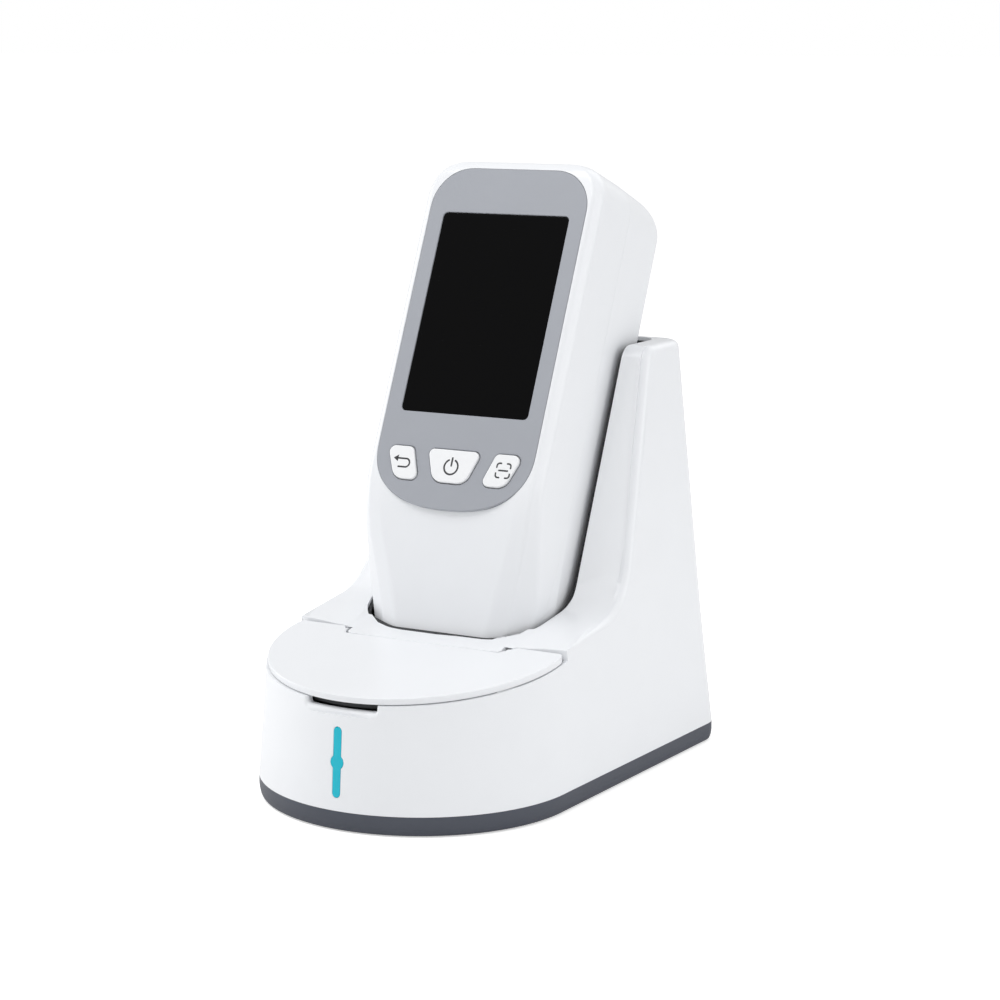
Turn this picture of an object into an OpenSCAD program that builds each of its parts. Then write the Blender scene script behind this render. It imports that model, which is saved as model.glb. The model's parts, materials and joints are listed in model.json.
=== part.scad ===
// Handheld autorefractor with its charging dock.
// Frame of the whole part: X to the user's right, Y to the back, Z up, origin at the centre of
// the footprint on the table. The dock is drawn from the centre of its rounded front; the
// handset is drawn in its own frame (x across, y into the body, z up its face) and leaned back.

/* [Dock] */
// Width of the dock's base
dock_w = 126; // [114:1:156]
// Depth of the dock's base
dock_d = 174; // [166:1:212]
// Height of the dock's back and side walls
dock_h = 152; // [125:1:160]
// Height of the dark base tray
tray_h = 7.3; // [6:0.1:9]
// Wall thickness of the dock housing
dock_wall = 2.6; // [2:0.1:3.2]
// Depth of the rounded front, from its centre to the front edge
front_r = 56.8; // [54:0.1:62]
// Width lost from the base to the top on each side
side_draft = 13.6; // [8:0.1:16]
// Thickness of the side walls' rim beside the handset
rim_y = 35.5; // [32:0.5:38]

/* [Lid] */
// Radius of the lid's rounded edge
lid_r = 54.2; // [50:0.1:56]
// Height of the lid's top surface at its rear edge
lid_z = 53.6; // [50:0.5:56]
// Slope of the lid
lid_slope = 7.6; // [6:0.1:10]
// Thickness of the lid
lid_t = 2.2; // [2:0.1:3.2]
// Radius of the lid's hinge pins
pin_r = 1; // [0.8:0.1:1.2]
// Width of the finger notch under the lid
notch_w = 30; // [20:1:40]

/* [Handset] */
// Half of the handset's greatest width
hand_hw = 37; // [35:0.5:37.5]
// Depth of the head from the face to the back
head_d = 55; // [53:0.5:57]
// Height of the handset above the centre of the screen
hand_top = 59.3; // [57:0.1:62]
// Length of the handset below the centre of the screen
hand_low = 140; // [136:0.5:142]
// Height of the screen's centre above the table
screen_z = 164.7; // [162:0.1:170]
// Distance of the screen's centre behind the centre of the rounded front
screen_y = 45; // [42:0.5:48]
// Lean of the handset's face
lean = 24.4; // [22:0.1:26]
// Wall thickness of the handset's shells
hand_wall = 2.2; // [1.8:0.1:2.7]
// Depth of the joint between the two shells
joint_y = 24.5; // [23:0.5:26]

/* [Face] */
// Thickness of the grey faceplate
face_t = 1.5; // [1.2:0.1:1.8]
// Top of the faceplate above the centre of the screen
face_top = 55.3; // [52:0.1:55.5]
// Width of the screen window
screen_w = 51.6; // [46:0.2:53]
// Height of the screen window
screen_h = 75.8; // [70:0.2:78]
// How far the buttons stand out of the faceplate
button_out = 0.7; // [0.4:0.1:1]
// Travel of the buttons
button_travel = 0.5; // [0.3:0.1:0.6]

/* [Optics] */
// Height of the optical axis above the centre of the screen
optic_z = 20; // [16:0.5:24]
// Outer radius of the lens tube
tube_r = 15; // [12:0.5:16]
// Radius of the opening in the back of the head
eye_r = 16; // [14:0.5:17]

/* [Clearances] */
// Gap between pieces that are fitted together
fit = 0.2; // [0.1:0.05:0.3]
// Gap around pieces that move
run = 0.4; // [0.3:0.05:0.5]

/* [Hidden] */
$fn = 48;

eps = 0.01;
mid_y = dock_d / 2 - front_r;      // centre of the footprint behind the front's centre
rear_y = dock_d - front_r;         // rear face of the base
big = 400;

// Dock outline at three heights: [z, half width in front, half width behind, front, rear, corner]
mid_z = 50;
base_hw = dock_w / 2;
LEVELS = [
  [tray_h, base_hw - 5, base_hw, front_r, rear_y, 12],
  [mid_z, base_hw - 8.5, base_hw - 5, front_r - 3, rear_y - 2.2, 10],
  [dock_h, base_hw - side_draft - 1, base_hw - side_draft, front_r - 9, rear_y - 6.7, 10]
];

// Lid and hinge
function lid_top(y) = lid_z + y * tan(lid_slope);
barrel_r = 2.2;
hinge_y = 3.2;
hinge_z = lid_top(hinge_y) - barrel_r - 0.1;
ear_x = 32;                        // where the lid's rear edge steps back
ear_end = 50.5;
tongue_y = hinge_y - 3.3;          // front of the tongue between the ears
function seat(y) = lid_top(y) - lid_t - run;
ear_back = hinge_y + barrel_r + run;

// Pocket that holds the handset, in the handset's frame
pocket_hw = 40;
pocket_front = 13.8;
pocket_back = 60.5;
liner_t = 1.5;
pocket_floor = -hand_low - 2;
floor_t = 2;

// Handset sections: [z, front half width, front, chamfer half width, chamfer, side, crease, back]
SECTIONS = [
  [hand_top + 8, hand_hw - 3.2, 0, hand_hw - 0.8, 2.6, hand_hw, joint_y, head_d - 1],
  [-68, hand_hw - 4.2, 0, hand_hw - 2, 3.4, hand_hw - 0.6, joint_y + 2, head_d],
  [-114, 20, 16, 31, 23, hand_hw - 2.2, 33, head_d - 1],
  [-hand_low - 1, 18, 19, 30, 26.5, hand_hw - 2.8, 33, head_d - 2]
];
top_rise = 4.5;                    // the top rises towards the back
wall_y = face_t + hand_wall;       // back of the shell's front wall
lcd_y = face_t + 0.1;
lcd_t = 3.8;
board_y = wall_y + 2.1;
board_t = 1.6;
board_hw = 29;
board_top = 47.5;
board_low = -66;
button_z = [-51.2, -63.3];         // top and bottom edges of the buttons
BOARD_POSTS = [[-22, 45.3], [22, 45.3], [-22, -46.5], [22, -46.5]];
post_r = 2.1;
CASE_BOSSES = [[-17, 51.3, 12], [17, 51.3, 12], [-22.6, -128, 3.5], [22.6, -128, 3.5]];  // x, z, thread
boss_r = 2.9;
screw_r = 1.1;
head_r = 2.5;
screw_seat = joint_y + 6;          // where the screw heads sit
cell_r = 9.1;
cell_x = 9.6;
cell_y = 32.5;
cell_z = [-136, -71];
pad_x = 8;
pad_y = 34;
window_t = 2;
window_y = head_d - 3.4;
boss_x = base_hw - 12.6;            // keeps the bosses clear of the bowl
boss_rear = rear_y - 21.2;
DOCK_BOSSES = [[-boss_x, -8], [boss_x, -8], [-boss_x, boss_rear], [boss_x, boss_rear]];
tray_floor = 3.2;
foot_t = 0.4;
light_x = 3;
light_z = [11.8, 35.9];
light_bulge = 2.5;
inlet_z = 24;
inlet_x = 0;

// ---- helpers -------------------------------------------------------------------------------

function unit(v) = v / norm(v);

// Points of an elliptic arc
function arc(c, rx, ry, from, to, n = 8) =
  [for (i = [0:n]) let (t = from + (to - from) * i / n) c + [rx * cos(t), ry * sin(t)]];

// Lower half of an oval that is fuller than an ellipse
function bowl_arc(c, rx, ry, n = 24) = [for (i = [0:n]) let (t = 180 + 180 * i / n)
  c + [rx * sign(cos(t)) * pow(abs(cos(t)), 0.81), -ry * pow(abs(sin(t)), 0.81)]];

// Points that round one corner of an outline
function corner(before, at, after, r, n = 5) =
  let (
    a = unit(before - at), b = unit(after - at), half = acos(a * b) / 2, sweep = 180 - 2 * half,
    c = at + unit(a + b) * r / sin(half),
    s = unit(at + a * r / tan(half) - c), e = unit(at + b * r / tan(half) - c)
  )
  [for (i = [0:n]) c + r * (s * sin((1 - i / n) * sweep) + e * sin(i / n * sweep)) / sin(sweep)];

// Outline with each corner [x, y, radius] rounded
function rounded(p) = let (n = len(p)) [
  for (i = [0:n - 1])
    let (at = [p[i].x, p[i].y], u = p[(i + n - 1) % n], v = p[(i + 1) % n])
    each (p[i][2] > 0 ? corner([u.x, u.y], at, [v.x, v.y], p[i][2]) : [at])
];

// A list of points on the right, closed by its mirror image on the left
function both_sides(p) = concat(p, [for (i = [len(p) - 1:-1:0]) [-p[i].x, p[i].y, p[i][2]]]);

module centred() translate([0, -mid_y, 0]) children();
module in_hand() centred() translate([0, screen_y, screen_z]) rotate([-lean, 0, 0]) children();

// Extrudes an x-z outline along y, from y = a to y = b
module through(a, b) translate([0, b, 0]) rotate([90, 0, 0]) linear_extrude(b - a) children();
// Extrudes a y-z outline along x, w wide about the middle
module across(w) rotate([90, 0, 90]) linear_extrude(w, center = true) children();
// Round bar along y
module bar_y(r, a, b) translate([0, a, 0]) rotate([-90, 0, 0]) cylinder(r = r, h = b - a);
module block(x, y, z) translate([x[0], y[0], z[0]]) cube([x[1] - x[0], y[1] - y[0], z[1] - z[0]]);

// ---- dock ----------------------------------------------------------------------------------

module dock_outline(l) polygon(concat(
  arc([0, 0], l[1], l[3], 180, 360, 28),
  arc([l[2] - l[5], l[4] - l[5]], l[5], l[5], 0, 90, 6),
  arc([l[5] - l[2], l[4] - l[5]], l[5], l[5], 90, 180, 6)
));

module dock_slab(l, inset) translate([0, 0, l[0]])
  linear_extrude(eps) offset(delta = -inset) dock_outline(l);

// Outer form of the dock, all round and up to the top
module dock_form(inset = 0) {
  for (i = [0:1]) hull() {
    dock_slab(LEVELS[i], inset);
    dock_slab(LEVELS[i + 1], inset);
  }
}

// Side view of the dock: lid seat, shoulder, hollow sweep and leaning wing
module dock_side(inset = 0) offset(delta = -inset) polygon(rounded([
  [-80, tray_h - inset - eps, 0], [-80, seat(-80), 0], [ear_back, seat(ear_back), 0],
  [ear_back, lid_top(ear_back), 0], [18, lid_top(ear_back) + 2.6, 10],
  [wing_y(lid_z + 12), lid_z + 12, 22], [wing_y(dock_h), dock_h, 8], [rear_y + 40, dock_h, 0],
  [rear_y + 40, tray_h - inset - eps, 0]
]));
// Line of the wing's front edge, parallel to the handset's face at the rim's depth
function wing_y(z) = screen_y + rim_y / cos(lean) + (z - screen_z) * tan(lean);

// Cross-section of the pocket
module pocket_outline(inset = 0) offset(delta = -inset) polygon(rounded(both_sides([
  [20, pocket_front, 14], [35, 20, 8], [pocket_hw, 34, 0], [pocket_hw, pocket_back, 7]
])));
module pocket(inset, from) in_hand() translate([0, 0, from]) linear_extrude(300) pocket_outline(inset);

module light_outline(gap = 0) {
  translate([-light_x / 2 - gap, light_z[0] + light_x / 2])
    square([light_x + 2 * gap, light_z[1] - light_z[0] - light_x]);
  for (z = [light_z[0] + light_x / 2, light_z[1] - light_x / 2])
    translate([0, z]) circle(light_x / 2 + gap);
  translate([0, (light_z[0] + light_z[1]) / 2]) circle(light_bulge + gap);
}

module dock_bosses() for (b = DOCK_BOSSES) {
  translate([b.x, b.y, tray_h]) cylinder(r = 3.4, h = 18);
  side = sign(b.x);
  block([min(b.x, b.x + side * 12), max(b.x, b.x + side * 12)], [b.y - 1, b.y + 1],
    [tray_h, tray_h + 18]);
}

module hinge_bores(r, from, to) for (s = [-1, 1])
  translate([s * (from + to) / 2, hinge_y, hinge_z]) rotate([0, 90, 0])
    cylinder(r = r, h = to - from, center = true);

module tongue() across(2 * (ear_x - run)) polygon([
  [tongue_y, hinge_z - 7], [tongue_y, lid_top(tongue_y) - 0.8], [tongue_y + 0.8, lid_top(tongue_y)],
  [ear_back + 1, lid_top(ear_back + 1)], [ear_back + 1, hinge_z - 7]
]);

module dock_housing() color("white") centred() difference() {
  union() {
    difference() {
      intersection() {
        dock_form();
        across(big) dock_side();
      }
      // hollow inside, which leaves the bosses, the tongue's root and the pocket's walls
      difference() {
        intersection() {
          translate([0, 0, -eps]) dock_form(dock_wall);
          across(big) dock_side(dock_wall);
        }
        translate([0, mid_y, 0]) pocket(-dock_wall, pocket_floor - floor_t - dock_wall);
        dock_bosses();
      }
      // open top under the lid
      translate([0, 0, mid_z - 24]) linear_extrude(40) tub_plan(0);
      lid_space();
    }
    tongue();
  }
  translate([0, mid_y, 0]) pocket(0, pocket_floor - floor_t);
  translate([0, mid_y, 0]) in_hand() pin_block_space(fit);
  hinge_bores(barrel_r + run, ear_x - run - 0.3, 70);
  hinge_bores(pin_r + 0.02, 22, ear_x);
  through(-70, -40) light_outline(fit / 2);
  through(-70, -40) notch_outline();
  for (b = DOCK_BOSSES) translate([b.x, b.y, tray_h - 1]) cylinder(r = screw_r, h = 14);
  translate([inlet_x, 0, inlet_z]) through(rear_y - 12, rear_y + 5)
    square([15 + 2 * fit, 12 + 2 * fit], center = true);
}

// Finger notch in the top of the front wall
notch_h = 3.4;
module notch_outline() polygon(rounded(both_sides([
  [notch_w / 2, seat(-front_r) - notch_h, 2.4], [notch_w / 2 + 1, seat(-front_r) + 3, 0]])));

// Space above the lid's seat, cut from the housing
module lid_space() translate([0, 0, lid_z]) rotate([lid_slope, 0, 0])
  translate([-90, -90, -lid_t - run]) cube([180, 90 + ear_back, lid_t + run + 10]);

module pocket_liner() color("dimgray") {
  difference() {
    intersection() {
      pocket(fit, pocket_floor - floor_t + fit);
      centred() across(big) dock_side(1.2);
    }
    pocket(fit + liner_t, pocket_floor);
    in_hand() pin_block_space(fit);
  }
}
module pin_block_space(gap) block([-15 - gap, 15 + gap], [pad_y - 5 - gap, pad_y + 5 + gap],
  [pocket_floor - 12, pocket_floor + 5]);

module tray_form(inset, z0, z1) {
  hull() {
    translate([0, 0, z0]) linear_extrude(eps) offset(delta = -inset - 2) dock_outline(LEVELS[0]);
    translate([0, 0, z0 + 3]) linear_extrude(eps) offset(delta = -inset) dock_outline(LEVELS[0]);
  }
  translate([0, 0, z0 + 3]) linear_extrude(z1 - z0 - 3) offset(delta = -inset) dock_outline(LEVELS[0]);
}

module base_tray() color([0.27, 0.29, 0.33]) centred() difference() {
  union() {
    difference() {
      tray_form(0, foot_t, tray_h);
      translate([0, 0, tray_floor]) linear_extrude(20) offset(delta = -dock_wall)
        dock_outline(LEVELS[0]);
    }
    // locating lip inside the housing
    translate([0, 0, tray_floor - eps]) linear_extrude(tray_h - tray_floor + 2.5) difference() {
      offset(delta = -dock_wall - 0.5) dock_outline(LEVELS[0]);
      offset(delta = -dock_wall - 2.1) dock_outline(LEVELS[0]);
      for (b = DOCK_BOSSES) translate([b.x, b.y]) square([34, 9], center = true);
    }
    for (b = DOCK_BOSSES) translate([b.x, b.y, 2]) cylinder(r = 4.4, h = tray_h - 2);
  }
  for (b = DOCK_BOSSES) translate([b.x, b.y, -1]) {
    cylinder(r = 1.6, h = 20);
    cylinder(r = 3.1, h = 4.2);
  }
}

module dock_screws() color("silver") centred()
  for (b = DOCK_BOSSES) translate([b.x, b.y, 1.4]) difference() {
  union() {
    cylinder(r = 2.8, h = 1.7);
    cylinder(r = screw_r - 0.05, h = 15);
  }
  translate([0, 0, -1]) for (a = [0, 90]) rotate(a) translate([-1.6, -0.35, 0]) cube([3.2, 0.7, 1.8]);
}

module rubber_feet() color("black") centred()
  for (p = [[-34, -30], [34, -30], [-42, rear_y - 35.2], [42, rear_y - 35.2]])
    translate([p.x, p.y, 0]) cylinder(r = 7, h = foot_t);

module ballast_plate() color("slategray") centred()
  translate([0, 0, tray_floor + 0.1]) linear_extrude(2.4) difference() {
  offset(delta = -dock_wall - 5) dock_outline(LEVELS[0]);
  for (b = DOCK_BOSSES) translate([b.x, b.y]) circle(7);
}

// Accessory bowl under the lid, with its flange
tub_floor = 16;
module tub_plan(inset) offset(delta = -inset) polygon(concat(
  arc([0, 0], base_hw - 8.5 - dock_wall, front_r - 3 - dock_wall, 183, 357, 28)));
module tub_slope(drop) translate([0, 0, lid_z]) rotate([lid_slope, 0, 0])
  translate([-90, -90, -lid_t - run - drop - 60]) cube([180, 90 - 2.5, 60]);
module compartment_tub() color("gray") centred() difference() {
  intersection() {
    union() {
      linear_extrude(60) tub_plan(5);
      intersection() {
        linear_extrude(60) tub_plan(0.6);
        difference() {
          tub_slope(0.2);
          tub_slope(2);
        }
      }
    }
    tub_slope(0.2);
    block([-60, 60], [-60, 0], [tub_floor - 2, 60]);
  }
  translate([0, 0, tub_floor]) linear_extrude(60) tub_plan(7);
  for (s = [-1, 1]) magnet_place(s, -lid_t - run - 2.1 + eps) cylinder(r = magnet_r + 0.1, h = 3);
}

magnet_r = 2.5;
module magnet_place(s, z) translate([0, 0, lid_z]) rotate([lid_slope, 0, 0])
  translate([s * 27, -38.5, z]) children();
module catch_plates() color("silver") centred()
  for (s = [-1, 1]) magnet_place(s, -lid_t - run - 1.9) cylinder(r = magnet_r, h = 1.4);
module lid_magnets() color("silver") centred()
  for (s = [-1, 1]) magnet_place(s, -lid_t - eps) cylinder(r = magnet_r, h = 1.4);

module hinge_pins() color("silver") centred() hinge_bores(pin_r, 23, 44);

lid_edge = -hinge_y + 4;           // clearance of the middle of the rear edge from the tongue
module front_lid() color("white") centred() difference() {
  union() {
    translate([0, 0, lid_z]) rotate([lid_slope, 0, 0]) translate([0, 0, -lid_t])
      linear_extrude(lid_t) difference() {
      polygon(concat(arc([0, 0], lid_r, lid_r, 180, 360, 40),
        [[ear_end + 1, hinge_y], [-ear_end - 1, hinge_y]]));
      translate([-ear_x - 0.3, -lid_edge]) square([2 * ear_x + 0.6, 20]);
    }
    hinge_bores(barrel_r, ear_x + run, ear_end);
  }
  hinge_bores(pin_r + 0.05, 20, 45);
  for (s = [-1, 1]) magnet_place(s, -lid_t - 1) cylinder(r = magnet_r + 0.05, h = 2.5);
}

module indicator_light() color([0, 0.77, 0.83]) centred() intersection() {
  through(-front_r - 5, -front_r + 5.6) light_outline();
  dock_form(-0.25);
}
module indicator_board() color("green") centred() {
  block([-6, 6], [-front_r + 7.2, -front_r + 8.6], [tray_floor + 3, light_z[1] + 2]);
  for (z = [16, 24, 32]) color("white")
    block([-1.2, 1.2], [-front_r + 6, -front_r + 7.2], [z - 1.2, z + 1.2]);
}

module dock_board() color("green") centred() {
  board_end = rear_y - 13.2;
  block([-38, 38], [board_end - 42, board_end], [tray_floor + 5, tray_floor + 6.6]);
  for (x = [-34, 34], y = [board_end - 38, board_end - 4]) translate([x, y, tray_floor + 2.5])
    cylinder(r = 2.4, h = 2.5);
  color("dimgray")
    block([-24, -12], [board_end - 28, board_end - 16], [tray_floor + 6.6, tray_floor + 8]);
  for (x = [6, 16]) translate([x, board_end - 20, tray_floor + 6.6]) cylinder(r = 4, h = 10);
}

module dc_inlet() color("dimgray") centred() translate([inlet_x, 0, inlet_z]) {
  difference() {
    union() {
      through(rear_y - 14, rear_y - 1.9) square([14.6, 11.6], center = true);
      block([-5, 5], [rear_y - 15, rear_y - 13], [tray_floor + 6.6 - inlet_z, 4]);
    }
    bar_y(3.1, rear_y - 12, rear_y);
  }
  bar_y(1, rear_y - 13, rear_y - 3.5);
}

module pin_block() color("dimgray") in_hand() difference() {
  block([-15, 15], [pad_y - 5, pad_y + 5], [pocket_floor - 10, pocket_floor + 0.6]);
  for (x = [-pad_x, 0, pad_x]) translate([x, pad_y, pocket_floor - 8]) {
    cylinder(r = 1.5, h = 20);
  }
}
module charge_pins() color("gold") in_hand() for (x = [-pad_x, 0, pad_x])
  translate([x, pad_y, pocket_floor - 6]) cylinder(r = 1.2, h = 6 + 2 - 0.3);

// ---- handset -------------------------------------------------------------------------------

module hand_section(s, inset) translate([0, 0, s[0]]) linear_extrude(eps) offset(delta = -inset)
  polygon(rounded(both_sides([
    [s[1], s[2], 1.5], [s[3], s[4], 0], [s[5], s[6], 4], [s[5] - 1, s[7] - 5, 4],
    [s[5] - 6, s[7], 3]])));

module hand_loft(inset) for (i = [0:2]) hull() {
  hand_section(SECTIONS[i], inset);
  hand_section(SECTIONS[i + 1], inset);
}

// Outer form of the handset, shrunk by inset
module hand_form(inset = 0) intersection() {
  hand_loft(inset);
  translate([0, 0, hand_top]) rotate([top_rise, 0, 0]) through(-30, 110) offset(delta = -inset)
    polygon(rounded(both_sides([[hand_hw + 3, -hand_low - hand_top - 3, 12], [hand_hw + 0.2, 0, 14.5]])));
  across(big) offset(delta = -inset) polygon(rounded([
    [0, hand_top, 5.5], [head_d - 0.4, hand_top + head_d * tan(top_rise), 11], [head_d + 4, -hand_low, 8],
    [10, -hand_low, 3], [0, -80, 0]]));
}

module face_outline(e) polygon(concat(
  bowl_arc([0, -50], hand_hw - 5 - e, 23.1 - e),
  arc([hand_hw - 20, face_top - 15], 15 - e, 15 - e, 0, 90, 8),
  arc([20 - hand_hw, face_top - 15], 15 - e, 15 - e, 90, 180, 8)
));
module screen_outline(e, r = 2) translate([-screen_w / 2 + e + r, -screen_h / 2 + e + r])
  offset(r = r) square([screen_w - 2 * e - 2 * r, screen_h - 2 * e - 2 * r]);
module middle_button(e = 0) offset(delta = e) polygon(rounded(both_sides([
  [6.6, button_z[1], 5], [10.9, button_z[0], 2]])));
module side_button(e = 0) offset(delta = e) polygon(rounded([
  [-27.7, button_z[0], 2.4], [-22.6, button_z[1], 5], [-12.7, button_z[1], 2.2],
  [-17, button_z[0], 2.2]]));
module buttons(e) {
  middle_button(e);
  side_button(e);
  mirror([1, 0]) side_button(e);
}

module faceplate() color([0.64, 0.65, 0.68]) in_hand() through(0, face_t) difference() {
  face_outline(0);
  screen_outline(-0.1);
  buttons(run - 0.1);
}

module display_glass() color("black") in_hand() through(0.25, face_t) screen_outline(0);
module lcd_module() color("dimgray") in_hand() block([-28, 28], [lcd_y, lcd_y + lcd_t], [-42.5, 42.5]);

module case_boss(y0, y1, r) for (b = CASE_BOSSES) translate([b.x, 0, b.y]) bar_y(r, y0, y1);

module front_shell() color("white") in_hand() difference() {
  intersection() {
    hand_form(0);
    block([-60, 60], [-10, joint_y], [-200, 100]);
  }
  // hollow inside, which leaves the wall behind the faceplate, the bosses and the board's posts
  difference() {
    hand_form(hand_wall);
    through(-1, wall_y) face_outline(-0.8);
    case_boss(2, 60, boss_r);
    for (p = BOARD_POSTS) translate([p.x, 0, p.y]) bar_y(post_r, 0, board_y - 0.05);
  }
  through(-10, face_t + 0.02) face_outline(-0.1);
  block([-28 - fit, 28 + fit], [-1, wall_y + 0.1], [-42.5 - fit, 42.5 + fit]);
  through(-1, wall_y + 1) buttons(1.4);
  for (b = CASE_BOSSES) translate([b.x, 0, b.y]) bar_y(screw_r, joint_y - b[2], joint_y + 1);
  for (p = BOARD_POSTS) translate([p.x, 0, p.y]) bar_y(0.85, face_t + 1, board_y + 1);
}

cradle_seat = 45.2;
module cradle_posts(r, from, to) for (s = [-1, 1], t = [-1, 1])
  translate([s * 24, 0, optic_z + t * 17]) bar_y(r, from, to);

module rear_shell() color("white") in_hand() difference() {
  intersection() {
    hand_form(0);
    block([-60, 60], [joint_y, 90], [-200, 100]);
  }
  difference() {
    hand_form(hand_wall);
    case_boss(10, 70, boss_r + 0.6);
    cradle_posts(2.4, cradle_seat, 90);
  }
  case_boss(joint_y - 1, 70, screw_r + 0.15);
  case_boss(screw_seat, 70, head_r + 0.2);
  translate([0, 0, optic_z]) bar_y(eye_r + 3.2, window_y - 6, 70);
  cradle_posts(0.85, cradle_seat - 1, cradle_seat + 5);
  contact_space(fit);
  for (x = [-6:3:6], z = [-6:3:6]) translate([x, 0, -40 + z]) bar_y(0.8, 50, 70);
}
module contact_space(gap)
  block([-14 - gap, 14 + gap], [pad_y - 5 - gap, pad_y + 5 + gap], [-hand_low - 5, -hand_low + 5]);

module button_piece() {
  through(-button_out, wall_y - button_travel - 0.2) children(0);
  through(face_t + 0.2, face_t + 1) children(1);
}
module back_button() color("white") in_hand() button_piece() { side_button(); side_button(1); }
module power_button() color("white") in_hand() button_piece() { middle_button(); middle_button(1); }
module scan_button() color("white") in_hand()
  mirror([1, 0, 0]) button_piece() { side_button(); side_button(1); }

module keypad_mat() color("dimgray") in_hand()
  block([-26, 26], [wall_y + 0.05, wall_y + 0.7], [-64, -50.5]);
module tact_switches() color("silver") in_hand() for (x = [-20.3, 0, 20.3])
  block([x - 3, x + 3], [wall_y + 0.9, board_y], [-60.2, -54.2]);

module main_board() color("green") in_hand() {
  difference() {
    block([-board_hw, board_hw], [board_y, board_y + board_t], [board_low, board_top]);
    for (p = BOARD_POSTS) translate([p.x, 0, p.y]) bar_y(1.1, 0, 20);
  }
  color("dimgray") {
    block([-10, 4], [board_y + board_t, board_y + board_t + 1.4], [-12, 2]);
    block([10, 22], [board_y + board_t, board_y + board_t + 1.4], [-30, -20]);
    block([-24, -12], [board_y + board_t, board_y + board_t + 4], [-60, -52]);
  }
}
module board_screws() color("silver") in_hand() for (p = BOARD_POSTS) translate([p.x, 0, p.y]) {
  bar_y(0.8, face_t + 1.4, board_y + board_t + 1);
  bar_y(1.9, board_y + board_t, board_y + board_t + 1.2);
}
module case_screws() color("silver") in_hand() {
  for (b = CASE_BOSSES) translate([b.x, 0, b.y])
    bar_y(screw_r - 0.1, joint_y - b[2] + 0.3, screw_seat + 1);
  case_boss(screw_seat, screw_seat + 2, head_r);
}

module cells(gap) for (s = [-1, 1]) translate([s * cell_x, cell_y, cell_z[0] - gap])
  cylinder(r = cell_r + gap, h = cell_z[1] - cell_z[0] + 2 * gap);
module battery_cells() color("royalblue") in_hand() cells(0);
module battery_cradle() color("dimgray") in_hand() difference() {
  block([-19, 19], [cell_y + 3, head_d - 4.9], [-120, -76]);
  cells(fit);
  block([-13, 13], [cell_y + 13, 90], [-116, -80]);
}

module contact_block() color("dimgray") in_hand() difference() {
  block([-14, 14], [pad_y - 5, pad_y + 5], [-hand_low + 0.2, -hand_low + 3]);
  for (x = [-pad_x, 0, pad_x]) translate([x, pad_y, -hand_low - 1]) cylinder(r = 2.4, h = 2.3);
}
module charge_pads() color("gold") in_hand() for (x = [-pad_x, 0, pad_x])
  translate([x, pad_y, -hand_low + 0.1]) cylinder(r = 2.2, h = 1.15);

// ---- optics, on an axis along y ------------------------------------------------------------

module on_axis() in_hand() translate([0, 0, optic_z]) children();
module ring_y(r_out, r_in, a, b) difference() {
  bar_y(r_out, a, b);
  bar_y(r_in, a - 1, b + 1);
}
tube = [20, window_y - 3.2];
bore_r = tube_r - 2;
module optics_tube() color("dimgray") on_axis() difference() {
  bar_y(tube_r, tube[0], tube[1]);
  bar_y(bore_r, tube[0] + 2, tube[1] + 1);
  bar_y(5.2, tube[0] - 1, tube[0] + 3);
}
lens_y = tube[1] - 7;
lens_bulge = 52;
module objective_lens() color([0.7, 0.85, 0.95, 0.5]) on_axis()
  translate([0, lens_y, 0]) rotate([-90, 0, 0])
  rotate_extrude() polygon(concat([[0, 0], [bore_r - 0.05, 0]],
    arc([0, 4.5 - lens_bulge], lens_bulge, lens_bulge, 90 - asin((bore_r - 0.05) / lens_bulge), 90, 6)));
module lens_ring() color("silver") on_axis()
  ring_y(bore_r - 0.05, bore_r - 2.4, lens_y + 4.6, lens_y + 6.4);
module beam_splitter() color([0.8, 0.9, 1, 0.5]) on_axis() translate([0, 32, 0]) rotate([45, 0, 0])
  cube([2 * bore_r - 9, 1.2, 2 * bore_r - 1.4], center = true);
module camera_board() color("green") on_axis() block([-13, 13], [tube[0] - 4, tube[0] - 2.4], [-13, 13]);
module camera_module() color("dimgray") on_axis() {
  block([-5, 5], [tube[0] - 2.4, tube[0] - 0.3], [-5, 5]);
  bar_y(4.6, tube[0] - 1, tube[0] + 4);
}
module infrared_ring() color("green") on_axis() {
  ring_y(tube_r + 3.5, tube_r + 0.3, tube[1] - 1.6, tube[1]);
  for (a = [0:45:315]) rotate([0, a, 0]) translate([tube_r + 1.9, 0, 0])
    bar_y(1.2, tube[1], tube[1] + 1.8);
}
module fixation_target() color("orange") on_axis() translate([0, 28.5, -tube_r - 5.3])
  cylinder(r = 4, h = 5);
module optics_cradle() color("dimgray") on_axis() difference() {
  union() {
    block([-28, 28], [42.6, 45], [-21, 21]);
    ring_y(tube_r + 2.2, tube_r + 0.1, 34, 43);
    block([-5, 5], [24, 43], [-tube_r - 7, -tube_r - 5.4]);
  }
  bar_y(tube_r + 0.1, 20, 60);
  for (s = [-1, 1], t = [-1, 1]) translate([s * 24, 0, t * 17]) bar_y(1.1, 40, 50);
}
module rear_window() color([0.1, 0.1, 0.12, 0.6]) on_axis()
  bar_y(eye_r + 1.9, window_y, window_y + window_t);
module window_bezel() color("dimgray") on_axis() difference() {
  bar_y(eye_r + 3, window_y - 1.4, head_d + 0.1);
  bar_y(eye_r, window_y - 3, head_d + 3);
  bar_y(eye_r + 2, window_y - 0.1, window_y + window_t + 0.1);
}
module speaker() color("black") in_hand()
  translate([0, 0, -40]) bar_y(9, head_d - hand_wall - 4.4, head_d - hand_wall - 0.5);

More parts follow.
